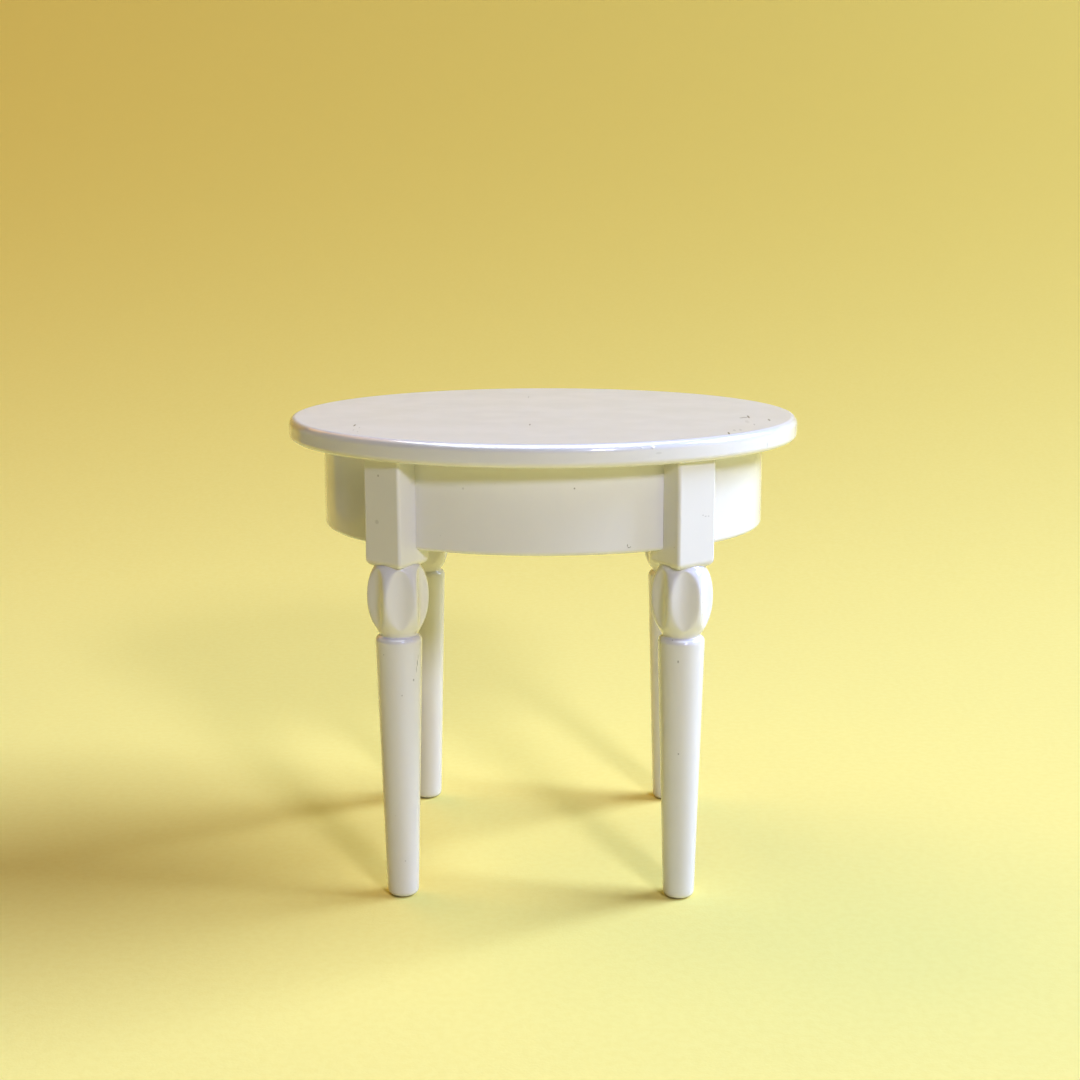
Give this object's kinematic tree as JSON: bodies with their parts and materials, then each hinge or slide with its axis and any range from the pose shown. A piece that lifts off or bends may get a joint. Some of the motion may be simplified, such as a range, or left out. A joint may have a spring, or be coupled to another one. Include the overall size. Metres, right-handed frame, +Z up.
{
  "type": "miniature dining table",
  "caption": "Oval dolls house dining table in white lacquered wood, with a curved apron, square corner blocks and turned, tapered legs with fluted bulbs.",
  "frame": {"origin": "on the floor, under the middle of the table", "axes": "+X along the long side of the oval top, +Y to the back, +Z up"},
  "size_m": [0.07, 0.059, 0.0625],
  "materials": {
    "white_lacquer": "gloss ivory-white sprayed lacquer over wood",
    "bare_wood": "bare beech",
    "brass_pin": "plain"
  },
  "bodies": {
    "root": {"table_top": "white_lacquer", "apron_front": "white_lacquer", "apron_back": "white_lacquer", "apron_left": "white_lacquer", "apron_right": "white_lacquer", "corner_block_front_left": "white_lacquer", "corner_block_front_right": "white_lacquer", "corner_block_back_left": "white_lacquer", "corner_block_back_right": "white_lacquer", "leg_front_left": "white_lacquer", "leg_front_right": "white_lacquer", "leg_back_left": "white_lacquer", "leg_back_right": "white_lacquer", "block_dowels": "bare_wood", "top_cleat_left": "white_lacquer", "top_cleat_right": "white_lacquer", "cleat_pins": "brass_pin"}
  },
  "joints": []
}
